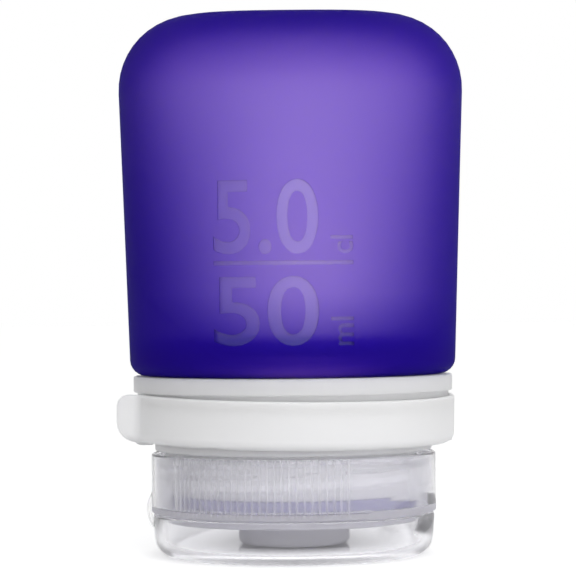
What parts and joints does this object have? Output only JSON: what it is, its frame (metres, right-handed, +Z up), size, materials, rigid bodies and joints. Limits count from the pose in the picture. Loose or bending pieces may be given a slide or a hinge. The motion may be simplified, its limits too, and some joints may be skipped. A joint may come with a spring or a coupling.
{
  "type": "travel squeeze bottle",
  "caption": "Soft silicone squeeze bottle standing on its flip-top screw cap, with a threaded collar, a swinging lock strap and a no-drip valve in the spout.",
  "frame": {"origin": "centre of the lid's flat outer face, on which the bottle stands, on the bottle's axis", "axes": "+Z up along the bottle's axis from the lid to the base, -Y to the front with the capacity mark, +X to the right of the front"},
  "size_m": [0.0433, 0.0406, 0.0675],
  "materials": {
    "purple_silicone": "matte translucent",
    "frosted_plastic": "frosted translucent",
    "white_plastic": "satin",
    "clear_plastic": "clear moulded",
    "clear_silicone": "translucent"
  },
  "bodies": {
    "bottle": {"silicone_bottle": "purple_silicone", "threaded_collar": "frosted_plastic", "strap_hinge_pin": "white_plastic"},
    "strap": {"lock_strap": "white_plastic"},
    "retainer": {"valve_retainer": "frosted_plastic"},
    "cap": {"screw_cap": "clear_plastic", "slit_valve": "clear_silicone", "hinge_film": "clear_plastic", "hinge_bows": "clear_plastic"},
    "lid": {"flip_lid": "clear_plastic"}
  },
  "joints": [
    {"name": "strap_swing", "type": "hinge", "parent": "bottle", "child": "strap", "pos_m": [0.01901, 0.00335, 0.01695], "axis": [0, 0, 1], "range_deg": [0, 90]},
    {"name": "cap_lift", "type": "slide", "parent": "bottle", "child": "retainer", "axis": [0, 0, -1], "range_m": [0, 0.005]},
    {"name": "cap_turn", "type": "hinge", "parent": "retainer", "child": "cap", "pos_m": [0, 0, 0.0054], "axis": [0, 0, -1], "range_deg": [0, 450]},
    {"name": "lid_flip", "type": "hinge", "parent": "cap", "child": "lid", "pos_m": [-0.01516, 0.00948, 0.0054], "axis": [0.5299, 0.848, 0], "range_deg": [0, 150], "deforming": ["hinge_film", "hinge_bows"]}
  ],
  "couplings": [
    {"joint": "cap_lift", "follows": "cap_turn", "m_per_rad": 0.0006366}
  ]
}
